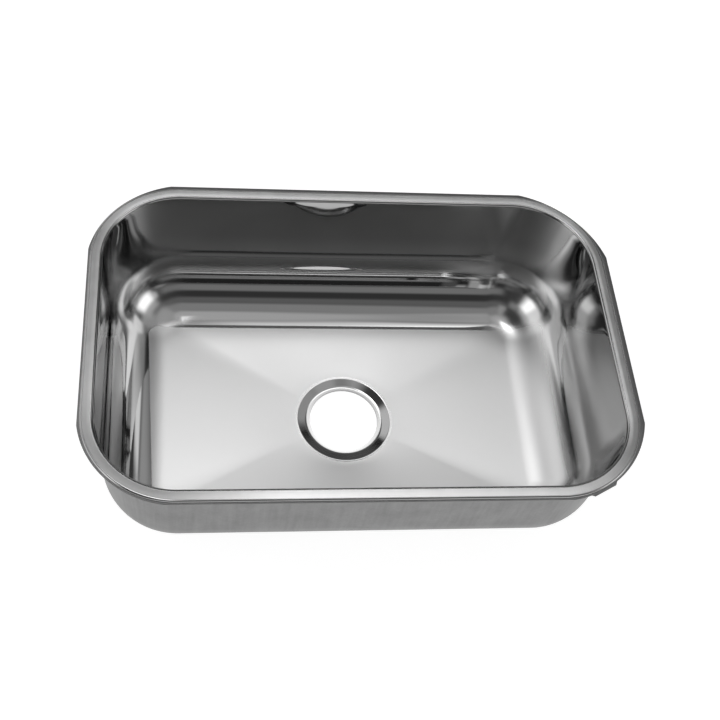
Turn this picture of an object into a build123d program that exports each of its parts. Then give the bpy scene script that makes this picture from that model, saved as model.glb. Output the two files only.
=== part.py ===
"""Undermount kitchen sink: one pressed stainless bowl with two sound-deadening pads under its floor.

Millimetres, +Z up. The origin is the centre of the bowl's opening, in the plane of the rim's top face,
so the worktop's underside is at z = 0 and the bowl hangs below it. +Y points to the back of the bowl.
"""
import os
from math import atan2, cos, radians, sin, sqrt, tan

from build123d import *

# Steel sheet
SHEET = 1.0

# Bowl, sizes inside the sheet; length and width are those of the opening at the rim plane
BOWL_LENGTH = 611.0
BOWL_WIDTH = 400.5
BOWL_DEPTH = 183.0
WALL_DRAFT = 2.0
COVE_RADIUS = 73.5
FLOOR_CORNER_RADIUS = 16.0

# Floor: flat land along the foot of the coves, then a fall from the land to the drain
FLOOR_LAND = 1.0
FLOOR_FALL = 4.5

# Rim: shoulder, flat flange, step down and trimmed lip. Each bend radius is on the bend's hollow side
SHOULDER_BEND = 2.0
FLANGE_WIDTH = 15.4
STEP_DROP = 3.0
STEP_BEND = 1.4
LIP_BEND = 0.5

# Lip, measured outwards from the step: the press trims it unevenly
LIP_LEFT = 2.2
LIP_RIGHT = 6.2
LIP_FRONT = 1.6
LIP_BACK = 5.6
LIP_CORNER = 1.8
LIP_CORNER_OVERRUN = 14.0

# Straight-cut tab left on the lip at the front right corner; its angle is turned from the right
LIP_TAB_REACH = 3.2
LIP_TAB_LENGTH = 30.0
LIP_TAB_ANGLE = 63.0

# Drain: recess pressed into the floor, with a flat seat round a punched hole. The seat's bend takes
# up no more than its share of the flat between the slope and the hole
DRAIN_HOLE_DIAMETER = 89.0
DRAIN_SEAT_DIAMETER = 101.0
DRAIN_RECESS_DIAMETER = 121.4
DRAIN_RECESS_DEPTH = 4.0
DRAIN_EDGE_BEND = 2.0
DRAIN_SEAT_BEND = 10.0
SEAT_BEND_SHARE = 0.9
DRAIN_FORWARD = 11.4

# Sound-deadening pads bonded under the floor
PAD_THICKNESS = 3.0
PAD_CORNER_RADIUS = 12.0
PAD_DRAIN_GAP = 14.0
PAD_END_MARGIN = 12.0
PAD_SIDE_MARGIN = 22.0

# How far a cut or an untrimmed blank runs past what it has to clear
CUT_MARGIN = 5.0

# Worked out from the sizes above
COVE_RUN = COVE_RADIUS * tan(radians((90 - WALL_DRAFT) / 2))
WALL_RUN = BOWL_DEPTH * tan(radians(WALL_DRAFT))
BOWL_INSET = COVE_RUN + WALL_RUN
FLOOR_LENGTH = BOWL_LENGTH - 2 * BOWL_INSET
FLOOR_WIDTH = BOWL_WIDTH - 2 * BOWL_INSET
CORNER_X = FLOOR_LENGTH / 2 - FLOOR_CORNER_RADIUS
CORNER_Y = FLOOR_WIDTH / 2 - FLOOR_CORNER_RADIUS
STEP_OFFSET = BOWL_INSET + FLANGE_WIDTH
STEP_CORNER_RADIUS = FLOOR_CORNER_RADIUS + STEP_OFFSET
LIP_BLANK = max(LIP_LEFT, LIP_RIGHT, LIP_FRONT, LIP_BACK, LIP_TAB_REACH) + CUT_MARGIN
DRAIN_BLANK_RADIUS = DRAIN_RECESS_DIAMETER / 2 + DRAIN_EDGE_BEND + SHEET
DRAIN_TOP = -BOWL_DEPTH - FLOOR_FALL


def rim_to_floor_section():
    """Sheet section on the XZ plane; x is the distance out from the centre of a floor corner."""
    floor_x = FLOOR_CORNER_RADIUS
    wall_x = floor_x + BOWL_INSET
    step_x = floor_x + STEP_OFFSET
    slope = tan(radians(WALL_DRAFT))
    wall_back = wall_x + SHEET / cos(radians(WALL_DRAFT))
    under = BOWL_DEPTH + SHEET
    inside = [
        (floor_x - FLOOR_LAND, -BOWL_DEPTH),
        (floor_x + COVE_RUN, -BOWL_DEPTH),
        (wall_x, 0),
        (step_x, 0),
        (step_x, -STEP_DROP),
        (step_x + LIP_BLANK, -STEP_DROP),
    ]
    outside = [
        (floor_x - FLOOR_LAND, -under),
        (wall_back - slope * under, -under),
        (wall_back - slope * SHEET, -SHEET),
        (step_x - SHEET, -SHEET),
        (step_x - SHEET, -STEP_DROP - SHEET),
        (step_x + LIP_BLANK, -STEP_DROP - SHEET),
    ]
    inside_radii = [COVE_RADIUS, SHOULDER_BEND + SHEET, STEP_BEND + SHEET, LIP_BEND]
    outside_radii = [COVE_RADIUS + SHEET, SHOULDER_BEND, STEP_BEND, LIP_BEND + SHEET]
    return sheet_face(inside, inside_radii, outside, outside_radii)


def sheet_face(inside, inside_radii, outside, outside_radii):
    """Face on the XZ plane between the two rounded outlines of a bent sheet."""
    with BuildSketch(Plane.XZ) as section:
        with BuildLine():
            FilletPolyline(*inside, radius=inside_radii)
            FilletPolyline(*outside, radius=outside_radii)
            Line(inside[0], outside[0])
            Line(inside[-1], outside[-1])
        make_face()
    return section.sketch


def walls_and_rim():
    """The section carried once round the floor's rounded outline."""
    section = rim_to_floor_section()
    corner = revolve(section, Axis.Z, 90)
    places = [(CORNER_X, CORNER_Y), (-CORNER_X, CORNER_Y), (-CORNER_X, -CORNER_Y), (CORNER_X, -CORNER_Y)]
    runs = [2 * CORNER_Y, 2 * CORNER_X, 2 * CORNER_Y, 2 * CORNER_X]
    rounds = []
    for quarter, (place, run) in enumerate(zip(places, runs)):
        side = extrude(section, amount=run)
        rounds.append(Pos(*place) * Rot(0, 0, 90 * quarter) * (side + corner))
    return rounds


def floor_outline():
    """Rounded outline of the falling floor, inside the land."""
    return RectangleRounded(
        FLOOR_LENGTH - 2 * FLOOR_LAND,
        FLOOR_WIDTH - 2 * FLOOR_LAND,
        FLOOR_CORNER_RADIUS - FLOOR_LAND,
    )


def drain_rim_arc(*facing):
    """Arc of the drain's rim that faces three given points of the floor's outline."""
    on_rim = []
    for point in facing:
        angle = atan2(point.Y + DRAIN_FORWARD, point.X)
        x = DRAIN_BLANK_RADIUS * cos(angle)
        y = DRAIN_BLANK_RADIUS * sin(angle) - DRAIN_FORWARD
        on_rim.append((x, y, DRAIN_TOP))
    return Edge.make_three_point_arc(*on_rim)


def floor_hollow():
    """Space above the falling floor: straight lines from its outline down to the drain's rim."""
    top = (Pos(0, 0, -BOWL_DEPTH) * floor_outline()).face().outer_wire()
    rim = [drain_rim_arc(side @ 0, side @ 0.5, side @ 1) for side in top.order_edges()]
    return Solid.make_loft([top, Wire(rim)], ruled=True)


def under_floor(depth):
    """Block below the falling floor whose top follows it at the given depth."""
    height = FLOOR_FALL + 2 * CUT_MARGIN
    block = Pos(0, 0, -BOWL_DEPTH - height) * extrude(floor_outline(), height)
    return Pos(0, 0, -depth) * (block - floor_hollow())


def floor_plate():
    """Falling floor inside the swept walls, before the drain is pressed."""
    return under_floor(0) - under_floor(SHEET)


def drain_dish():
    """Recess, seat and hole edge of the drain, about the drain's own axis."""
    rim_r = DRAIN_RECESS_DIAMETER / 2
    seat_r = DRAIN_SEAT_DIAMETER / 2
    hole_r = DRAIN_HOLE_DIAMETER / 2
    half_slope = atan2(DRAIN_RECESS_DEPTH, rim_r - seat_r) / 2
    shift = SHEET * tan(half_slope)
    seat_bend = min(DRAIN_SEAT_BEND, SEAT_BEND_SHARE * (seat_r - hole_r) / tan(half_slope))
    top = DRAIN_TOP
    seat = top - DRAIN_RECESS_DEPTH
    inside = [(DRAIN_BLANK_RADIUS, top), (rim_r, top), (seat_r, seat), (hole_r, seat)]
    outside = [
        (DRAIN_BLANK_RADIUS, top - SHEET),
        (rim_r + shift, top - SHEET),
        (seat_r + shift, seat - SHEET),
        (hole_r, seat - SHEET),
    ]
    inside_radii = [DRAIN_EDGE_BEND + SHEET, seat_bend]
    outside_radii = [DRAIN_EDGE_BEND, seat_bend + SHEET]
    section = sheet_face(inside, inside_radii, outside, outside_radii)
    return revolve(section, Axis.Z, 360)


def lip_tab():
    """Outline of the tab, from the centre of the front right corner."""
    reach = STEP_CORNER_RADIUS + LIP_TAB_REACH
    tab = Pos(reach / 2, 0) * Rectangle(reach, LIP_TAB_LENGTH)
    return Pos(CORNER_X, -CORNER_Y) * Rot(0, 0, -LIP_TAB_ANGLE) * tab


def lip_outline():
    """Trimmed edge of the lip: four straight cuts joined by blunter corner arcs, and the tab."""
    step_x = FLOOR_LENGTH / 2 + STEP_OFFSET
    step_y = FLOOR_WIDTH / 2 + STEP_OFFSET
    end_x = CORNER_X + LIP_CORNER_OVERRUN
    end_y = CORNER_Y + LIP_CORNER_OVERRUN
    reach = (STEP_CORNER_RADIUS + LIP_CORNER) / sqrt(2)
    corners = []
    for side_x, side_y, lip_x, lip_y in (
        (1, 1, LIP_RIGHT, LIP_BACK),
        (-1, 1, LIP_LEFT, LIP_BACK),
        (-1, -1, LIP_LEFT, LIP_FRONT),
        (1, -1, LIP_RIGHT, LIP_FRONT),
    ):
        on_side = (side_x * (step_x + lip_x), side_y * end_y)
        middle = (side_x * (CORNER_X + reach), side_y * (CORNER_Y + reach))
        on_front_or_back = (side_x * end_x, side_y * (step_y + lip_y))
        corners.append((on_side, middle, on_front_or_back))
    back_right, back_left, front_left, front_right = corners
    with BuildSketch() as outline:
        with BuildLine():
            for corner in corners:
                ThreePointArc(*corner)
            Line(back_right[2], back_left[2])
            Line(back_left[0], front_left[0])
            Line(front_left[2], front_right[2])
            Line(front_right[0], back_right[0])
        make_face()
    return outline.sketch + lip_tab()


def bowl():
    """The whole pressing: floor, drain, coves, walls, flange and trimmed lip."""
    pressing = floor_plate()
    for piece in walls_and_rim():
        pressing += piece
    drain = Pos(0, -DRAIN_FORWARD, 0)
    blank = Pos(0, 0, DRAIN_TOP) * Cylinder(DRAIN_BLANK_RADIUS, 2 * CUT_MARGIN)
    pressing -= drain * blank
    pressing += drain * drain_dish()
    waste = Rectangle(2 * BOWL_LENGTH, 2 * BOWL_WIDTH) - lip_outline()
    return pressing - Pos(0, 0, -STEP_DROP - CUT_MARGIN) * extrude(waste, 2 * CUT_MARGIN)


def sound_pad(side):
    """Pad under the floor, left of the drain for side -1 and right of it for side 1."""
    near = DRAIN_RECESS_DIAMETER / 2 + PAD_DRAIN_GAP
    far = FLOOR_LENGTH / 2 - PAD_END_MARGIN
    width = FLOOR_WIDTH - 2 * PAD_SIDE_MARGIN
    outline = RectangleRounded(far - near, width, PAD_CORNER_RADIUS)
    height = FLOOR_FALL + SHEET + PAD_THICKNESS + CUT_MARGIN
    place = Pos(side * (near + far) / 2, 0, -BOWL_DEPTH - height)
    column = place * extrude(outline, height)
    layer = under_floor(SHEET) - under_floor(SHEET + PAD_THICKNESS)
    return column & layer


NODES = {
    "bowl": bowl,
    "sound_pad_left": lambda: sound_pad(-1),
    "sound_pad_right": lambda: sound_pad(1),
}


def main():
    os.makedirs("parts", exist_ok=True)
    for name, make in NODES.items():
        export_step(make(), f"parts/{name}.step")


main()
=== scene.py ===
"""Undermount kitchen sink: the pressed bowl in its polished, satin and dull finishes, with its pads.

Metres and +Z up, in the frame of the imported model: the origin is the centre of the bowl's opening, in
the plane of the rim's top face, and +Y points to the back of the bowl. Sizes below are in millimetres.
"""

from math import acos, atan2, cos, hypot, pi, radians, sin, sqrt, tan

import bpy
from mathutils import Matrix, Vector, noise


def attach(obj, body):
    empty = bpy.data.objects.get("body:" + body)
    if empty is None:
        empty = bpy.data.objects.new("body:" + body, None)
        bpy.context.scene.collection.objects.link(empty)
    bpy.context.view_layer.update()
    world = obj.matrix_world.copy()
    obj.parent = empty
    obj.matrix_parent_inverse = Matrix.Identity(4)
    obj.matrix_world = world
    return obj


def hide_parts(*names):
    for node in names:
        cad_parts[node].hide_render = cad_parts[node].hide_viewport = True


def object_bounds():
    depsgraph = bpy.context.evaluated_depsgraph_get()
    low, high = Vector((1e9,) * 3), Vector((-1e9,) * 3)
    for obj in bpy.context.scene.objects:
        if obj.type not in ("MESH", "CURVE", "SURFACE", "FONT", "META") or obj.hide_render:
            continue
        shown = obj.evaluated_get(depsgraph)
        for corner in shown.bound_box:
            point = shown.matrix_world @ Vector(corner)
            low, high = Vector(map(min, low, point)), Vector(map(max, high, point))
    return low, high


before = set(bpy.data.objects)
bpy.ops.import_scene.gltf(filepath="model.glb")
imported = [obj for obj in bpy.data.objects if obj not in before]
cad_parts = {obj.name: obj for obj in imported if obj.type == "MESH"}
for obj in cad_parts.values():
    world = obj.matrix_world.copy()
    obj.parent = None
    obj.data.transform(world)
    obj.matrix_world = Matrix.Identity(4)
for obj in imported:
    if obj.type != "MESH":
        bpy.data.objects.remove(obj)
CAD_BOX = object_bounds()

# A millimetre in metres, and the slack when two lengths are compared
MM = 0.001
SLACK = 1e-4

# ---------------------------------------------------------------- sizes of the pressing
SHEET = 1.0
BOWL_LENGTH = 611.0
BOWL_WIDTH = 400.5
BOWL_DEPTH = 183.0
WALL_DRAFT = radians(2.0)
COVE_RADIUS = 73.5
FLOOR_CORNER_RADIUS = 16.0
FLOOR_FALL = 4.5
SHOULDER_BEND = 2.0
FLANGE_WIDTH = 15.4
STEP_DROP = 3.0
STEP_BEND = 1.4
LIP_BEND = 0.5
LIP_FLAT = 0.2
LIP_LEFT = 2.2
LIP_RIGHT = 6.2
LIP_FRONT = 1.6
LIP_BACK = 5.6
LIP_CORNER = 1.8
LIP_CORNER_OVERRUN = 14.0
LIP_EDGE_BEVEL = 0.25
TAB_REACH = 3.2
TAB_LENGTH = 30.0
TAB_ANGLE = radians(63.0)
DRAIN_HOLE_RADIUS = 44.5
DRAIN_SEAT_RADIUS = 50.5
DRAIN_RECESS_RADIUS = 60.7
DRAIN_RECESS_DEPTH = 4.0
DRAIN_EDGE_BEND = 2.0
DRAIN_SEAT_BEND = 10.0
DRAIN_FORWARD = 11.4

# What follows from them; a radius ending in _R is measured from the centre of a floor corner
COVE_TURN = pi / 2 - WALL_DRAFT
COVE_RUN = COVE_RADIUS * tan(COVE_TURN / 2)
BOWL_INSET = COVE_RUN + BOWL_DEPTH * tan(WALL_DRAFT)
FLOOR_X = BOWL_LENGTH / 2 - BOWL_INSET
FLOOR_Y = BOWL_WIDTH / 2 - BOWL_INSET
CORNER_X = FLOOR_X - FLOOR_CORNER_RADIUS
CORNER_Y = FLOOR_Y - FLOOR_CORNER_RADIUS
WALL_R = FLOOR_CORNER_RADIUS + BOWL_INSET
STEP_R = WALL_R + FLANGE_WIDTH
FLANGE_END_R = STEP_R - STEP_BEND - SHEET
LIP_START_R = STEP_R + LIP_BEND + LIP_FLAT
DRAIN_BLANK_RADIUS = DRAIN_RECESS_RADIUS + DRAIN_EDGE_BEND + SHEET
DRAIN_TOP = -BOWL_DEPTH - FLOOR_FALL

# Fineness of the mesh: stations round the outline, and rings across the floor and up the coves
CORNER_STEPS = 56
SIDE_STEPS_X = 64
SIDE_STEPS_Y = 34
FLOOR_RINGS = 9
COVE_STEPS = 44
COVE_STEPS_BELOW = 30

# Steps round the bends of the shoulder, the step and the lip, then round the two bends of the dish
RIM_STEPS = (9, 8, 4)
RIM_STEPS_BELOW = (5, 3, 4)
DISH_STEPS = (6, 8)
DISH_STEPS_BELOW = (4, 6)
LONGEST_RUN = 8.0
LONGEST_RUN_BELOW = 12.0
SHARP_ANGLE = radians(50.0)

# Slow unevenness of the pressed walls and coves: it starts outside the floor's corner, and ends below
# the rim. The second, quicker one is for the corners, and strongest in the back right one
WAVE_LENGTH = 85.0
WAVE_HEIGHT = 0.10
CORNER_WAVE_LENGTH = 38.0
CORNER_WAVE_HEIGHT = 0.22
OTHER_CORNERS_SHARE = 0.5
WAVE_RISE_R = (FLOOR_CORNER_RADIUS + 4.0, WALL_R - 38.0)
WAVE_END_DEPTHS = (4.0, 22.0)

# Finishes of the bowl, in the order of its material slots; the polish goes a little past the shoulder
FINISHES = ("inside", "flange", "cut", "outside")
POLISHED_FLAT = 1.6


# ---------------------------------------------------------------- sections of the sheet
def rounded(points, radii, steps):
    """Points of a polyline whose inner corners are arcs of the given radii."""
    out = [points[0]]
    for before, corner, after, radius, count in zip(points, points[1:], points[2:], radii, steps):
        c = Vector(corner)
        a = (Vector(before) - c).normalized()
        b = (Vector(after) - c).normalized()
        half = a.angle(b) / 2
        start = c + a * radius / tan(half)
        centre = c + (a + b).normalized() * radius / sin(half)
        sweep = pi - 2 * half
        turn = sweep if (a.x * b.y - a.y * b.x) < 0 else -sweep
        arm = start - centre
        for k in range(count + 1):
            out.append(tuple(centre + Matrix.Rotation(turn * k / count, 2) @ arm))
    out.append(points[-1])
    return out


def filled(points, longest):
    """The same polyline with its long runs divided."""
    out = [points[0]]
    for a, b in zip(points, points[1:]):
        count = max(1, round(hypot(b[0] - a[0], b[1] - a[1]) / longest))
        for k in range(1, count + 1):
            out.append((a[0] + (b[0] - a[0]) * k / count, a[1] + (b[1] - a[1]) * k / count))
    return out


def cove_point(turn, radius=COVE_RADIUS):
    """Radius and height of a point on the cove's arc, turned from straight down."""
    return FLOOR_CORNER_RADIUS + radius * sin(turn), COVE_RADIUS - BOWL_DEPTH - radius * cos(turn)


def top_section():
    """Top side of the sheet from the top of the cove to the start of the lip."""
    rim = [
        cove_point(COVE_TURN),
        (WALL_R, 0.0),
        (STEP_R, 0.0),
        (STEP_R, -STEP_DROP),
        (LIP_START_R, -STEP_DROP),
    ]
    radii = [SHOULDER_BEND + SHEET, STEP_BEND + SHEET, LIP_BEND]
    return filled(rounded(rim, radii, RIM_STEPS), LONGEST_RUN)


def under_section():
    """Under side of the same stretch of sheet."""
    wall = WALL_R + SHEET / cos(WALL_DRAFT) - tan(WALL_DRAFT) * SHEET
    lip = -STEP_DROP - SHEET
    rim = [
        cove_point(COVE_TURN, COVE_RADIUS + SHEET),
        (wall, -SHEET),
        (STEP_R - SHEET, -SHEET),
        (STEP_R - SHEET, lip),
        (LIP_START_R, lip),
    ]
    radii = [SHOULDER_BEND, STEP_BEND, LIP_BEND + SHEET]
    return filled(rounded(rim, radii, RIM_STEPS_BELOW), LONGEST_RUN_BELOW)


def cove_foot(place, direction, rim_point):
    """How far round the cove the floor touches it, where it falls straight to the drain's rim."""
    across = FLOOR_CORNER_RADIUS - (rim_point - place).dot(direction)
    drop = COVE_RADIUS + FLOOR_FALL
    return acos(COVE_RADIUS / hypot(across, drop)) - atan2(across, drop)


def drain_sections():
    """Top and under side of the drain's dish, from the falling floor to the hole."""
    half_slope = atan2(DRAIN_RECESS_DEPTH, DRAIN_RECESS_RADIUS - DRAIN_SEAT_RADIUS) / 2
    shift = SHEET * tan(half_slope)
    seat = DRAIN_TOP - DRAIN_RECESS_DEPTH
    top = [
        (DRAIN_BLANK_RADIUS, DRAIN_TOP),
        (DRAIN_RECESS_RADIUS, DRAIN_TOP),
        (DRAIN_SEAT_RADIUS, seat),
        (DRAIN_HOLE_RADIUS, seat),
    ]
    below = [
        (DRAIN_BLANK_RADIUS, DRAIN_TOP - SHEET),
        (DRAIN_RECESS_RADIUS + shift, DRAIN_TOP - SHEET),
        (DRAIN_SEAT_RADIUS + shift, seat - SHEET),
        (DRAIN_HOLE_RADIUS, seat - SHEET),
    ]
    return (
        rounded(top, [DRAIN_EDGE_BEND + SHEET, DRAIN_SEAT_BEND], DISH_STEPS),
        rounded(below, [DRAIN_EDGE_BEND, DRAIN_SEAT_BEND + SHEET], DISH_STEPS_BELOW),
    )


# ---------------------------------------------------------------- the trimmed lip
# Each corner is named by the signs of its x and y; the tab stands at the front right one
CORNERS = ((1, 1), (-1, 1), (-1, -1), (1, -1))
TAB_CORNER = (1, -1)


def circle_through(a, b, c):
    """Centre and radius of the circle through three points."""
    d = 2 * (a.x * (b.y - c.y) + b.x * (c.y - a.y) + c.x * (a.y - b.y))
    aa, bb, cc = a.length_squared, b.length_squared, c.length_squared
    x = (aa * (b.y - c.y) + bb * (c.y - a.y) + cc * (a.y - b.y)) / d
    y = (aa * (c.x - b.x) + bb * (a.x - c.x) + cc * (b.x - a.x)) / d
    centre = Vector((x, y))
    return centre, (a - centre).length


def lip_kinks(side_x, side_y):
    """Where a corner's arc meets the straight cuts of its two sides, from the corner's centre."""
    lip_x = LIP_RIGHT if side_x > 0 else LIP_LEFT
    lip_y = LIP_BACK if side_y > 0 else LIP_FRONT
    return Vector((STEP_R + lip_x, LIP_CORNER_OVERRUN)), Vector((LIP_CORNER_OVERRUN, STEP_R + lip_y))


def trim_reach(angle, side_x, side_y):
    """Distance from a corner's centre to the lip's trimmed edge, along a ray at that angle."""
    kink_x, kink_y = lip_kinks(side_x, side_y)
    ray = Vector((cos(angle), sin(angle)))
    if angle <= atan2(kink_x.y, kink_x.x):
        reach = kink_x.x / ray.x
    elif angle >= atan2(kink_y.y, kink_y.x):
        reach = kink_y.y / ray.y
    else:
        middle = Vector((1, 1)).normalized() * (STEP_R + LIP_CORNER)
        centre, radius = circle_through(kink_x, middle, kink_y)
        along = ray.dot(centre)
        reach = along + sqrt(radius ** 2 - (centre.length_squared - along ** 2))
    off_tab = angle - TAB_ANGLE
    tab_reach = STEP_R + TAB_REACH
    if (side_x, side_y) == TAB_CORNER and tab_reach * abs(tan(off_tab)) < TAB_LENGTH / 2 + SLACK:
        reach = max(reach, tab_reach / cos(off_tab))
    return reach


def corner_angles(side_x, side_y):
    """Station angles of one corner, with one moved on to each kink of the lip."""
    angles = [pi / 2 * k / CORNER_STEPS for k in range(CORNER_STEPS + 1)]
    kinks = [atan2(kink.y, kink.x) for kink in lip_kinks(side_x, side_y)]
    if (side_x, side_y) == TAB_CORNER:
        tab_half = atan2(TAB_LENGTH / 2, STEP_R + TAB_REACH)
        kinks += [TAB_ANGLE - tab_half, TAB_ANGLE + tab_half]
    for kink in kinks:
        nearest = min(range(1, CORNER_STEPS), key=lambda k: abs(angles[k] - kink))
        angles[nearest] = kink
    return angles


def stations():
    """Once round the outline: (corner centre, outward direction, reach of the trimmed lip)."""
    out = []
    for (side_x, side_y), (next_x, next_y) in zip(CORNERS, CORNERS[1:] + CORNERS[:1]):
        angles = corner_angles(side_x, side_y)
        if side_x * side_y < 0:
            angles.reverse()
        place = Vector((side_x * CORNER_X, side_y * CORNER_Y))
        for angle in angles:
            direction = Vector((side_x * cos(angle), side_y * sin(angle)))
            out.append((place, direction, trim_reach(angle, side_x, side_y)))
        beyond = Vector((next_x * CORNER_X, next_y * CORNER_Y))
        count = SIDE_STEPS_X if next_x != side_x else SIDE_STEPS_Y
        direction, reach = out[-1][1:]
        for k in range(1, count):
            out.append((place.lerp(beyond, k / count), direction, reach))
    return out


# ---------------------------------------------------------------- the bowl's mesh
def fade(value, low, high):
    """Smooth step from 0 at low to 1 at high."""
    share = min(1.0, max(0.0, (value - low) / (high - low)))
    return share * share * (3 - 2 * share)


def unevenness(direction, point, radius, height):
    """The point moved along the sheet's normal by the slow waves of the pressed walls and coves."""
    down = min(0.0, height + BOWL_DEPTH - COVE_RADIUS)
    slant = Vector((radius - FLOOR_CORNER_RADIUS, down)).normalized()
    normal = Vector((direction.x * slant.x, direction.y * slant.x, slant.y))
    in_corner = 2 * abs(direction.x * direction.y)
    share = 1.0 if point.x > 0 and point.y > 0 else OTHER_CORNERS_SHARE
    slow = noise.noise(point / WAVE_LENGTH) * WAVE_HEIGHT
    quick = noise.noise(point / CORNER_WAVE_LENGTH) * CORNER_WAVE_HEIGHT * in_corner * share
    still_edges = fade(radius, *WAVE_RISE_R) * fade(-height, *WAVE_END_DEPTHS)
    return point + normal * (slow + quick) * still_edges


def finish_of(radius, height):
    """Finish of the top side at a place on its section."""
    if radius < WALL_R + SHOULDER_BEND + POLISHED_FLAT:
        return "inside"
    if radius < FLANGE_END_R:
        return "flange"
    # Below half the step's drop, the step and the lip's top take the dark sheared-edge finish: partly
    # the rough trimmed lip, partly painted shade under the step
    return "inside" if height > -STEP_DROP / 2 - SLACK else "cut"


def bowl_rings(around):
    """Rings of points from the hole's edge over the top side, round the lip and back underneath.

    Each ring comes with its distance out and the finish of the faces that follow it.
    """
    top = top_section()
    dish, dish_under = drain_sections()
    drain = Vector((0.0, -DRAIN_FORWARD))
    spokes = []
    feet = []
    for place, direction, _ in around:
        spoke = (place + direction * FLOOR_CORNER_RADIUS - drain).normalized()
        spokes.append(spoke)
        feet.append(cove_foot(place, direction, drain + spoke * DRAIN_BLANK_RADIUS))
    rings = []

    def outline_ring(sections, uneven):
        points = []
        for (place, direction, _), (radius, height) in zip(around, sections):
            point = Vector((*(place + direction * radius), height))
            points.append(unevenness(direction, point, radius, height) if uneven else point)
        return points

    def cove_ring(share, radius):
        turns = [foot + (COVE_TURN - foot) * share for foot in feet]
        return outline_ring([cove_point(turn, radius) for turn in turns], True)

    def drain_ring(radius, height):
        return [Vector((*(drain + spoke * radius), height)) for spoke in spokes]

    def fall(outer, inner, finish):
        for k in range(1, FLOOR_RINGS):
            points = [a.lerp(b, k / FLOOR_RINGS) for a, b in zip(outer, inner)]
            rings.append((points, 0.0, finish))

    for radius, height in reversed(dish):
        rings.append((drain_ring(radius, height), radius, "inside"))
    fall(drain_ring(*dish[0]), cove_ring(0, COVE_RADIUS), "inside")
    for k in range(COVE_STEPS):
        rings.append((cove_ring(k / COVE_STEPS, COVE_RADIUS), FLOOR_CORNER_RADIUS, "inside"))
    for here, after in zip(top, top[1:] + top[-1:]):
        finish = finish_of((here[0] + after[0]) / 2, (here[1] + after[1]) / 2)
        rings.append((outline_ring([here] * len(around), True), here[0], finish))
    bevel = LIP_EDGE_BEVEL
    for drop, inset in ((0.0, bevel), (bevel, 0.0), (SHEET - bevel, 0.0), (SHEET, bevel)):
        points = []
        for place, direction, reach in around:
            points.append(Vector((*(place + direction * (reach - inset)), -STEP_DROP - drop)))
        rings.append((points, STEP_R, "cut"))
    for radius, height in reversed(under_section()):
        rings.append((outline_ring([(radius, height)] * len(around), False), radius, "outside"))
    for k in reversed(range(COVE_STEPS_BELOW)):
        points = cove_ring(k / COVE_STEPS_BELOW, COVE_RADIUS + SHEET)
        rings.append((points, FLOOR_CORNER_RADIUS, "outside"))
    fall(points, drain_ring(*dish_under[0]), "outside")
    for radius, height in dish_under:
        rings.append((drain_ring(radius, height), radius, "outside"))
    # The faces after the last ring close the sheet at the drain hole, where it is sheared
    rings[-1] = (*rings[-1][:2], "cut")
    return rings


def bowl_mesh():
    """One closed sheet: rings of faces, whose corners know their place along the outline and out."""
    around = stations()
    rings = bowl_rings(around)
    count = len(around)
    run = [0.0]
    for here, after in zip(around, around[1:] + around[:1]):
        a = here[0] + here[1] * STEP_R
        b = after[0] + after[1] * STEP_R
        run.append(run[-1] + (b - a).length)
    mesh = bpy.data.meshes.new("bowl_steel")
    faces = []
    places = []
    slots = []
    for r, (_, radius, finish) in enumerate(rings):
        after = (r + 1) % len(rings)
        radius_after = rings[after][1]
        for s in range(count):
            t = (s + 1) % count
            faces.append((r * count + s, r * count + t, after * count + t, after * count + s))
            places += [(run[s], radius), (run[s + 1], radius)]
            places += [(run[s + 1], radius_after), (run[s], radius_after)]
            slots.append(FINISHES.index(finish))
    mesh.from_pydata([p * MM for ring in rings for p in ring[0]], [], faces)
    outline = mesh.attributes.new("outline", "FLOAT_VECTOR", "CORNER")
    outline.data.foreach_set("vector", [value for a, b in places for value in (a, b, 0.0)])
    mesh.polygons.foreach_set("material_index", slots)
    mesh.polygons.foreach_set("use_smooth", [True] * len(faces))
    mesh.set_sharp_from_angle(angle=SHARP_ANGLE)
    return mesh


def make_bowl():
    """The bowl in its finishes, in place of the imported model's bowl."""
    bowl = bpy.data.objects.new("bowl_steel", bowl_mesh())
    bpy.context.scene.collection.objects.link(bowl)
    for finish in (inside_steel, flange_steel, cut_edge_and_painted_shade_steel, outside_steel):
        bowl.data.materials.append(finish())
    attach(bowl, "root")
    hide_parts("bowl")


# ---------------------------------------------------------------- camera
# Solved from the outlines of the bowl: focal length and centre in pixels of the photo
PHOTO_SIDE = 720.0
FOCAL_PIXELS = 1147.9
CENTRE_PIXEL = (353.0, 342.3)
CAMERA_PLACE = (-197.3, -738.0, 1125.1)
CAMERA_YAW = radians(-14.43)
CAMERA_PITCH = radians(56.36)
CAMERA_ROLL = radians(12.50)
SENSOR = 36.0


def make_camera():
    """Camera that sees the bowl as the photo does."""
    data = bpy.data.cameras.new("camera")
    cam = bpy.data.objects.new("camera", data)
    bpy.context.scene.collection.objects.link(cam)
    ahead = Vector((
        -sin(CAMERA_YAW) * cos(CAMERA_PITCH),
        cos(CAMERA_YAW) * cos(CAMERA_PITCH),
        -sin(CAMERA_PITCH),
    ))
    level = Vector((cos(CAMERA_YAW), sin(CAMERA_YAW), 0.0))
    up = level.cross(ahead)
    right = cos(CAMERA_ROLL) * level + sin(CAMERA_ROLL) * up
    top = cos(CAMERA_ROLL) * up - sin(CAMERA_ROLL) * level
    turn = Matrix((right, top, -ahead)).transposed()
    cam.matrix_world = Matrix.Translation(Vector(CAMERA_PLACE) * MM) @ turn.to_4x4()
    data.sensor_width = SENSOR
    data.lens = FOCAL_PIXELS / PHOTO_SIDE * SENSOR
    data.shift_x = (PHOTO_SIDE / 2 - CENTRE_PIXEL[0]) / PHOTO_SIDE
    data.shift_y = (CENTRE_PIXEL[1] - PHOTO_SIDE / 2) / PHOTO_SIDE
    data.clip_start = 0.01
    data.clip_end = 100.0
    bpy.context.scene.camera = cam


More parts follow.
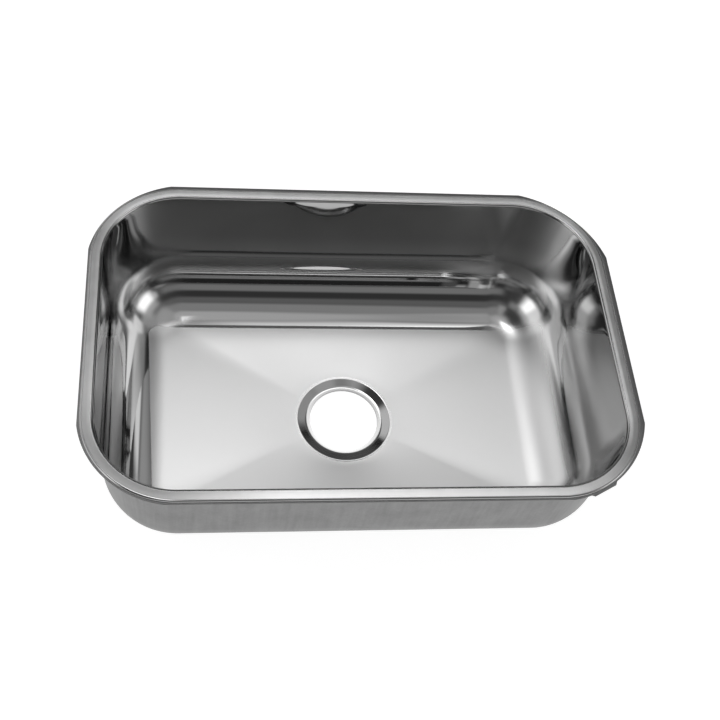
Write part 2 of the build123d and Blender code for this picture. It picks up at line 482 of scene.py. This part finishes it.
# ---------------------------------------------------------------- nodes
class Nodes:
    """Short calls that add nodes and link their sockets."""

    def __init__(self, tree):
        self.tree = tree
        tree.nodes.clear()

    def add(self, kind, **settings):
        node = self.tree.nodes.new(kind)
        for name, value in settings.items():
            setattr(node, name, value)
        return node

    def feed(self, socket, value):
        if isinstance(value, bpy.types.NodeSocket):
            self.tree.links.new(value, socket)
        else:
            socket.default_value = value

    def math(self, operation, a, b=0.0):
        node = self.add("ShaderNodeMath", operation=operation)
        for socket, value in zip(node.inputs, (a, b)):
            self.feed(socket, value)
        return node.outputs[0]

    def absolute(self, value):
        return self.math("ABSOLUTE", value)

    def plus(self, *values):
        total = values[0]
        for value in values[1:]:
            total = self.math("ADD", total, value)
        return total

    def times(self, *values):
        total = values[0]
        for value in values[1:]:
            total = self.math("MULTIPLY", total, value)
        return total

    def varied(self, base, *parts):
        """The base plus every part, each of them a value and its weight."""
        return self.plus(base, *[self.times(value, weight) for value, weight in parts])

    def ramp(self, value, low, high, start=0.0, end=1.0):
        """Smooth step of value from low to high."""
        node = self.add("ShaderNodeMapRange", interpolation_type="SMOOTHSTEP")
        for socket, item in zip(node.inputs, (value, low, high, start, end)):
            self.feed(socket, item)
        return node.outputs[0]

    def blend(self, share, a, b):
        """Value a where share is 0 and b where it is 1."""
        node = self.add("ShaderNodeMix", data_type="FLOAT")
        for socket, value in zip(node.inputs[:1] + node.inputs[2:4], (share, a, b)):
            self.feed(socket, value)
        return node.outputs[0]

    def scaled(self, vector, *factors):
        """The vector times one factor, or times one for each axis."""
        node = self.add("ShaderNodeVectorMath", operation="MULTIPLY")
        self.feed(node.inputs[0], vector)
        node.inputs[1].default_value = factors * 3 if len(factors) == 1 else factors
        return node.outputs[0]

    def split(self, vector):
        node = self.add("ShaderNodeSeparateXYZ")
        self.feed(node.inputs[0], vector)
        return node.outputs

    def cloud(self, vector, *cells, detail):
        """Noise from -0.5 to 0.5, with so many cells to a unit of the vector or of each axis."""
        node = self.add("ShaderNodeTexNoise")
        self.feed(node.inputs["Vector"], self.scaled(vector, *cells))
        node.inputs["Scale"].default_value = 1.0
        node.inputs["Detail"].default_value = detail
        return self.math("SUBTRACT", node.outputs[0], 0.5)

    def grey(self, value):
        node = self.add("ShaderNodeCombineColor")
        for socket in node.inputs:
            self.feed(socket, value)
        return node.outputs[0]


# ---------------------------------------------------------------- finishes
# A pair of values is where a fade starts and where it is full: _X, _Y and _Z on an axis, _R out from
# the centre of a floor corner, _LEVELS on a noise
def finish_nodes(name, metallic):
    """A new material with its nodes, its shader and the object's own coordinates in millimetres."""
    mat = bpy.data.materials.new(name)
    mat.use_nodes = True
    n = Nodes(mat.node_tree)
    shader = n.add("ShaderNodeBsdfPrincipled")
    shader.inputs["Metallic"].default_value = metallic
    out = n.add("ShaderNodeOutputMaterial")
    n.feed(out.inputs["Surface"], shader.outputs[0])
    place = n.scaled(n.add("ShaderNodeTexCoord").outputs["Object"], 1 / MM)
    return mat, n, shader, place


def relief(n, shader, height, depth):
    """Bump of the given depth in millimetres."""
    bump = n.add("ShaderNodeBump")
    bump.inputs["Distance"].default_value = depth * MM
    n.feed(bump.inputs["Height"], height)
    n.feed(shader.inputs["Normal"], bump.outputs[0])


def outline_place(n):
    """Place along the outline, and out from the corners' centres, in millimetres."""
    return n.add("ShaderNodeAttribute", attribute_name="outline").outputs["Vector"]


# Marks of the corners fade in until this far past the ends of the straight sides
CORNER_FADE = 25.0


def corner_share(n, x, y, before):
    """How far a place lies in one of the four corners, from so far before the straight sides end."""
    return n.times(
        n.ramp(n.absolute(x), CORNER_X - before, CORNER_X + CORNER_FADE),
        n.ramp(n.absolute(y), CORNER_Y - before, CORNER_Y + CORNER_FADE),
    )


# Satin patch of the floor: it climbs the left and right coves. Its left edge is a little askew, and to
# the right its edge turns from crisp, with a darker line along it, to soft
SATIN_LEFT = -251.4
SATIN_RIGHT = 284.0
SATIN_OVERRUN = 4.0
SATIN_CORNER = 16.0
SATIN_SKEW = 0.044
SATIN_SKEW_X = (0.0, -100.0)
SATIN_CRISP = 1.2
SATIN_SOFT = 15.0
SATIN_SOFT_X = (190.0, 265.0)
SATIN_LINE_HALF = (1.0, 0.3)
SATIN_LINE_X = (250.0, 190.0)
SATIN_LINE_TONE = -0.12


def satin_share(n, place):
    """How far a place is satin floor, and how far it lies on the line along the satin's edge."""
    x, y = n.split(place)[:2]
    skew = n.times(y, SATIN_SKEW, n.ramp(x, *SATIN_SKEW_X))
    middle = (SATIN_LEFT + SATIN_RIGHT) / 2
    half_x = (SATIN_RIGHT - SATIN_LEFT) / 2 - SATIN_CORNER
    half_y = FLOOR_Y + SATIN_OVERRUN - SATIN_CORNER
    across = n.math("SUBTRACT", n.absolute(n.plus(x, skew, -middle)), half_x)
    along = n.math("SUBTRACT", n.absolute(y), half_y)
    across = n.math("MAXIMUM", across, 0.0)
    along = n.math("MAXIMUM", along, 0.0)
    off = n.math("SQRT", n.plus(n.times(across, across), n.times(along, along)))
    off = n.math("SUBTRACT", off, SATIN_CORNER)
    soft = n.ramp(x, *SATIN_SOFT_X, SATIN_CRISP, SATIN_SOFT)
    share = n.ramp(off, soft, n.math("MULTIPLY", soft, -1.0))
    line = n.times(n.ramp(n.absolute(off), *SATIN_LINE_HALF), n.ramp(x, *SATIN_LINE_X))
    return share, line


def drain_distance(n, place):
    """Distance from the drain's axis."""
    x, y = n.split(place)[:2]
    forward = n.plus(y, DRAIN_FORWARD)
    return n.math("SQRT", n.plus(n.times(x, x), n.times(forward, forward)))


# Inside: the dish's polish starts at its rim, the walls get painted shade above the coves, and the
# polish is duller in the lower part of the corners, where the sheet was drawn hardest
# The satin tone is lighter and the polished tone darker than the steel alone: partly the two finishes,
# partly painted light on the floor and painted shade on the polish
SATIN_TONE = 0.78
SATIN_ROUGHNESS = 0.36
SATIN_GRAIN_DEPTH = 0.004
POLISHED_TONE = 0.52
POLISHED_ROUGHNESS = 0.045
DISH_POLISH_RADII = (DRAIN_BLANK_RADIUS + 0.4, DRAIN_BLANK_RADIUS - 0.8)
WALL_PAINTED_SHADE_TONE = 0.40
WALL_PAINTED_SHADE_Z = (-105.0, -65.0)
DRAWN_ROUGHNESS = 0.12
DRAWN_BEFORE = 25.0
DRAWN_Z = (-30.0, -110.0)
SMUDGE_LEVELS = (0.1, 0.5)


def inside_steel():
    """Satin floor that gives way to polished coves and walls, and to the polished dish of the drain."""
    mat, n, shader, place = finish_nodes("inside_steel", metallic=1.0)
    x, y, z = n.split(place)
    floor, line = satin_share(n, place)
    dish = n.ramp(drain_distance(n, place), *DISH_POLISH_RADII)
    satin = n.times(floor, n.math("SUBTRACT", 1.0, dish))
    grain = n.cloud(place, 0.9, detail=4.0)
    patches = n.cloud(place, 0.016, detail=3.0)
    smudge = n.ramp(n.cloud(place, 0.03, 0.03, 0.012, detail=4.0), *SMUDGE_LEVELS)
    drawn = n.times(corner_share(n, x, y, DRAWN_BEFORE), n.ramp(z, *DRAWN_Z))
    polished = n.varied(POLISHED_ROUGHNESS, (smudge, 0.03), (dish, 0.05), (drawn, DRAWN_ROUGHNESS))
    brushed = n.varied(SATIN_ROUGHNESS, (patches, 0.05), (grain, 0.02))
    n.feed(shader.inputs["Roughness"], n.blend(satin, polished, brushed))
    # Painted shade: the polished walls darken above the coves
    mirror = n.ramp(z, *WALL_PAINTED_SHADE_Z, POLISHED_TONE, WALL_PAINTED_SHADE_TONE)
    tone = n.blend(satin, mirror, n.varied(SATIN_TONE, (patches, 0.04), (grain, 0.02)))
    n.feed(shader.inputs["Base Color"], n.grey(n.varied(tone, (line, SATIN_LINE_TONE))))
    relief(n, shader, n.times(grain, satin), SATIN_GRAIN_DEPTH)
    return mat


# Flange: polished inner edge with a band of painted light outside it, dull band and a line of painted
# shade at its foot, each by its distance out, and the fine lines that the drawing left across its
# corners, fainter along its sides
FLANGE_TONE = 0.48
FLANGE_ROUGHNESS = 0.36
FLANGE_RELIEF = 0.012
FLANGE_POLISH_ROUGHNESS = 0.16
FLANGE_POLISH_R = (WALL_R + 4.4, WALL_R + 2.2)
FLANGE_FOOT_SHADE_R = (FLANGE_END_R - 1.2, FLANGE_END_R)
FLANGE_FOOT_PAINTED_SHADE = -0.12
FLANGE_LINES_BEFORE = 15.0
FLANGE_LINES_LEAST = 0.2

# Painted light and shade on the flange: stretches made lighter or darker than the rest, where each
# starts and where it is full, to the front (y) and to the side (x), and how much of the tone it adds
FRONT_Y = (-150.0, -190.0)
FRONT_MIDDLE_X = 70.0
FRONT_HALF = (270.0, 150.0)
FRONT_PAINTED_LIGHT = 0.75
FRONT_LEFT_X = (-170.0, -250.0)
FRONT_LEFT_Y = (-60.0, -160.0)
FRONT_LEFT_PAINTED_SHADE = -0.4
FRONT_RIGHT_X = (180.0, 270.0)
FRONT_RIGHT_Y = (-90.0, -160.0)
FRONT_RIGHT_PAINTED_SHADE = -0.25
INNER_R = (WALL_R + 8.5, WALL_R + 5.5)
INNER_Y = (-170.0, -110.0)
INNER_X = (-310.0, -220.0)
INNER_LEFT_LEAST = 0.2
INNER_PAINTED_LIGHT = 0.7
BACK_Y = (130.0, 195.0)
BACK_PAINTED_LIGHT = 0.8


def flange_painted_light_and_shade(n, x, y, off):
    """Factor of painted light and shade on the flange's tone at a place, and at a distance out."""
    front = n.times(n.ramp(y, *FRONT_Y), n.ramp(n.absolute(n.plus(x, -FRONT_MIDDLE_X)), *FRONT_HALF))
    front_left = n.times(n.ramp(x, *FRONT_LEFT_X), n.ramp(y, *FRONT_LEFT_Y))
    front_right = n.times(n.ramp(x, *FRONT_RIGHT_X), n.ramp(y, *FRONT_RIGHT_Y))
    inner = n.times(
        n.ramp(off, *INNER_R),
        n.ramp(y, *INNER_Y),
        n.ramp(x, *INNER_X, INNER_LEFT_LEAST, 1.0),
    )
    back = n.ramp(y, *BACK_Y)
    return n.varied(
        1.0,
        (front, FRONT_PAINTED_LIGHT),
        (front_left, FRONT_LEFT_PAINTED_SHADE),
        (front_right, FRONT_RIGHT_PAINTED_SHADE),
        (inner, INNER_PAINTED_LIGHT),
        (back, BACK_PAINTED_LIGHT),
    )


def flange_steel():
    """Dull satin flange: polished inner edge, fine drawing lines in the corners and handling marks,
    with painted light and shade in stretches.
    """
    mat, n, shader, place = finish_nodes("flange_steel", metallic=1.0)
    x, y = n.split(place)[:2]
    outline = outline_place(n)
    off = n.split(outline)[1]
    in_corner = corner_share(n, x, y, FLANGE_LINES_BEFORE)
    drawn = n.cloud(outline, 1.3, 0.06, 1.0, detail=2.0)
    rolled = n.cloud(outline, 0.02, 1.1, 1.0, detail=3.0)
    handled = n.cloud(place, 0.05, detail=5.0)
    lines = n.times(drawn, n.varied(FLANGE_LINES_LEAST, (in_corner, 1.0 - FLANGE_LINES_LEAST)))
    polish = n.ramp(off, *FLANGE_POLISH_R)
    dull = n.varied(FLANGE_TONE, (lines, 0.13), (rolled, 0.07), (handled, 0.13))
    # The dull tone takes the flange's painted light and shade, stretch by stretch
    dull = n.times(dull, flange_painted_light_and_shade(n, x, y, off))
    # Painted shade: a darker line along the flange's foot, beside the step
    foot = n.ramp(off, *FLANGE_FOOT_SHADE_R)
    tone = n.varied(n.blend(polish, dull, POLISHED_TONE), (foot, FLANGE_FOOT_PAINTED_SHADE))
    n.feed(shader.inputs["Base Color"], n.grey(tone))
    rough = n.varied(FLANGE_ROUGHNESS, (lines, 0.1), (handled, 0.08))
    n.feed(shader.inputs["Roughness"], n.blend(polish, rough, FLANGE_POLISH_ROUGHNESS))
    relief(n, shader, n.varied(lines, (rolled, 0.4)), FLANGE_RELIEF)
    return mat


# Outside: its tone is darker than dull steel's own, partly the unpolished finish and partly painted
# shade against the pale floor it mirrors
OUTSIDE_TONE = 0.24
OUTSIDE_ROUGHNESS = 0.44
OUTSIDE_RELIEF = 0.03
STAIN_LEVELS = (0.16, 0.3)
STAIN_TONE = -0.045


def outside_steel():
    """Unpolished outside, with drawing streaks, stains and handling marks."""
    mat, n, shader, place = finish_nodes("outside_steel", metallic=1.0)
    down = n.add("ShaderNodeCombineXYZ")
    n.feed(down.inputs["X"], n.split(outline_place(n))[0])
    n.feed(down.inputs["Y"], n.split(place)[2])
    streaks = n.cloud(down.outputs[0], 0.16, 0.012, 1.0, detail=4.0)
    mottle = n.cloud(place, 0.03, detail=5.0)
    speckle = n.cloud(place, 0.35, detail=3.0)
    stain = n.ramp(n.cloud(place, 0.018, detail=5.0), *STAIN_LEVELS)
    tone = n.varied(OUTSIDE_TONE, (streaks, 0.1), (mottle, 0.16), (speckle, 0.07), (stain, STAIN_TONE))
    n.feed(shader.inputs["Base Color"], n.grey(tone))
    rough = n.varied(OUTSIDE_ROUGHNESS, (mottle, 0.12), (speckle, 0.06), (stain, 0.08))
    n.feed(shader.inputs["Roughness"], rough)
    relief(n, shader, n.varied(streaks, (speckle, 0.5)), OUTSIDE_RELIEF)
    return mat


# Sheared edge, whose dark finish also covers the lip's top, there partly as painted shade
CUT_TONE = 0.24
CUT_ROUGHNESS = 0.48
CUT_RELIEF = 0.05


def cut_edge_and_painted_shade_steel():
    """Sheared edge of the sheet, burnished in places and torn in others; also on the lip's top, where
    its darkness is partly painted shade.
    """
    mat, n, shader, place = finish_nodes("cut_edge_and_painted_shade_steel", metallic=1.0)
    torn = n.cloud(place, 1.3, 1.3, 0.3, detail=4.0)
    n.feed(shader.inputs["Base Color"], n.grey(n.varied(CUT_TONE, (torn, 0.2))))
    n.feed(shader.inputs["Roughness"], n.varied(CUT_ROUGHNESS, (torn, 0.25)))
    relief(n, shader, torn, CUT_RELIEF)
    return mat


# Pads
RUBBER_TONE = 0.028
RUBBER_ROUGHNESS = 0.62
RUBBER_GRAIN_CELLS = 0.5
RUBBER_GRAIN_EDGE = (0.0, 0.25)
RUBBER_GRAIN_DEPTH = 0.15
DUST_LEVELS = (-0.1, 0.4)


def pad_rubber():
    """Dark rubber with a fine moulded grain, dusty in patches."""
    mat, n, shader, place = finish_nodes("pad_rubber", metallic=0.0)
    pebble = n.add("ShaderNodeTexVoronoi", feature="DISTANCE_TO_EDGE")
    n.feed(pebble.inputs["Vector"], n.scaled(place, RUBBER_GRAIN_CELLS))
    pebble.inputs["Scale"].default_value = 1.0
    grain = n.ramp(pebble.outputs[0], *RUBBER_GRAIN_EDGE)
    dust = n.ramp(n.cloud(place, 0.02, detail=4.0), *DUST_LEVELS)
    n.feed(shader.inputs["Base Color"], n.grey(n.varied(RUBBER_TONE, (grain, 0.012), (dust, 0.03))))
    n.feed(shader.inputs["Roughness"], n.varied(RUBBER_ROUGHNESS, (dust, 0.2), (grain, -0.06)))
    relief(n, shader, grain, RUBBER_GRAIN_DEPTH)
    return mat


def dress_pads():
    """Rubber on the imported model's own pads."""
    rubber = pad_rubber()
    for name in ("sound_pad_left", "sound_pad_right"):
        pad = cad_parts[name]
        pad.data.materials.clear()
        pad.data.materials.append(rubber)


# ---------------------------------------------------------------- surroundings
# Studio round the bowl. Each patch of it is (strength, azimuth, half width, low, high, softness across,
# softness up), in degrees: azimuth 0 is behind the bowl and 90 to its right. Later patches cover
# earlier ones
PATCHES = (
    # Ceiling: right overhead, then high at the right and the front; the front is dark lower down
    (0.60, 0, 180, 78, 100, 8, 5),
    (0.52, 95, 45, 56, 80, 12, 6),
    (0.34, 160, 34, 62, 80, 10, 5),
    (0.17, 165, 40, 50, 62, 12, 4),
    (0.05, 172, 44, 38, 50, 12, 4),
    (0.27, 168, 26, 24, 37, 8, 3),
    # Bright panels high behind the bowl, whose light the satin floor shows, and a narrow one in front
    (1.00, 22, 22, 64, 77, 12, 5),
    (6.20, 335, 15, 66, 85, 9, 7),
    (1.50, 38, 14, 55, 68, 10, 6),
    (3.60, 14, 18, 54, 67, 12, 3),
    (0.50, 201, 11, 59, 78, 2, 3),
    # Walls behind and to the right, with a window low at the right and a pale strip beside it
    (0.14, 15, 30, 33, 61, 8, 4),
    (0.45, 70, 24, 33, 58, 8, 4),
    (0.62, 105, 20, 38, 50, 8, 6),
    (2.20, 108, 16, 15, 36, 7, 5),
    (0.80, 129, 4, 24, 36, 2, 3),
    # Walls to the left, with two windows, and with a dark gap and a pale strip towards the front
    (0.80, 320, 18, 28, 64, 6, 6),
    (1.20, 304, 12, 22, 46, 5, 4),
    (0.65, 262, 22, 42, 52, 8, 6),
    (0.06, 218, 10, 12, 40, 5, 6),
    (0.32, 225, 11, 42, 56, 5, 4),
    (0.50, 235, 4, 12, 44, 2, 4),
    (2.20, 249, 11, 13, 42, 6, 5),
    (1.20, 273, 14, 9, 42, 5, 5),
    # Low behind: a dark gap with a pale strip at the right, and a dim stretch at the left
    (0.04, 38, 20, 13, 30, 6, 3),
    (1.05, 56, 4, 22, 31, 2, 2),
    (0.25, 330, 15, 12, 26, 5, 4),
    # Pale bands along the horizon: behind, left, front right and front
    (0.72, 0, 32, -12, 15, 6, 2),
    (0.80, 270, 34, -12, 10, 6, 3),
    (1.05, 135, 34, -12, 3, 6, 2),
    (1.20, 172, 34, 6, 20, 8, 3),
)

# Light where no patch is, half width of a patch that goes all round, and degrees in a radian
FILL = 0.06
ALL_ROUND = 180
DEGREES = 180 / pi


def make_world():
    """The studio, as a light from all round."""
    world = bpy.data.worlds.new("studio")
    bpy.context.scene.world = world
    world.use_nodes = True
    n = Nodes(world.node_tree)
    x, y, z = n.split(n.add("ShaderNodeTexCoord").outputs["Generated"])
    lift = n.math("MULTIPLY", n.math("ARCSINE", z), DEGREES)

    def patch(azimuth, half_width, low, high, soft_across, soft_up):
        ahead = n.plus(n.times(x, sin(radians(azimuth))), n.times(y, cos(radians(azimuth))))
        aside = n.plus(n.times(x, cos(radians(azimuth))), n.times(y, -sin(radians(azimuth))))
        off = n.math("MULTIPLY", n.absolute(n.math("ARCTAN2", aside, ahead)), DEGREES)
        across = 1.0
        if half_width < ALL_ROUND:
            across = n.ramp(off, half_width + soft_across, half_width - soft_across)
        rise = n.ramp(lift, low - soft_up, low + soft_up)
        end = n.ramp(lift, high + soft_up, high - soft_up)
        return n.times(across, rise, end)

    light = FILL
    for strength, *extent in PATCHES:
        light = n.blend(patch(*extent), light, strength)
    background = n.add("ShaderNodeBackground")
    background.inputs["Color"].default_value = (1, 1, 1, 1)
    n.feed(background.inputs["Strength"], light)
    out = n.add("ShaderNodeOutputWorld")
    n.feed(out.inputs["Surface"], background.outputs[0])


# Pale floor: half its side in metres, what it reflects, and the glow it adds where it is seen
FLOOR_HALF = 12.0
FLOOR_TONE = 0.45
FLOOR_GLOW = 0.86


def pale_floor():
    """White floor: grey enough to hold a shadow, with a glow where it is seen directly or mirrored."""
    mat = bpy.data.materials.new("pale_floor")
    mat.use_nodes = True
    n = Nodes(mat.node_tree)
    diffuse = n.add("ShaderNodeBsdfDiffuse")
    diffuse.inputs["Color"].default_value = (FLOOR_TONE, FLOOR_TONE, FLOOR_TONE, 1)
    path = n.add("ShaderNodeLightPath")
    seen = n.math("MAXIMUM", path.outputs["Is Camera Ray"], path.outputs["Is Glossy Ray"])
    seen = n.math("MAXIMUM", seen, path.outputs["Is Transmission Ray"])
    glow = n.add("ShaderNodeEmission")
    n.feed(glow.inputs["Strength"], n.math("MULTIPLY", seen, FLOOR_GLOW))
    both = n.add("ShaderNodeAddShader")
    n.feed(both.inputs[0], diffuse.outputs[0])
    n.feed(both.inputs[1], glow.outputs[0])
    out = n.add("ShaderNodeOutputMaterial")
    n.feed(out.inputs["Surface"], both.outputs[0])
    return mat


def make_floor():
    """Level square at the height of the bowl's lowest point."""
    z = CAD_BOX[0].z
    corners = [(-FLOOR_HALF, -FLOOR_HALF, z), (FLOOR_HALF, -FLOOR_HALF, z)]
    corners += [(FLOOR_HALF, FLOOR_HALF, z), (-FLOOR_HALF, FLOOR_HALF, z)]
    mesh = bpy.data.meshes.new("floor")
    mesh.from_pydata(corners, [], [(0, 1, 2, 3)])
    mesh.materials.append(pale_floor())
    floor = bpy.data.objects.new("floor", mesh)
    bpy.context.scene.collection.objects.link(floor)


make_camera()
make_bowl()
dress_pads()
make_floor()
make_world()
bpy.context.scene.view_settings.view_transform = "Standard"
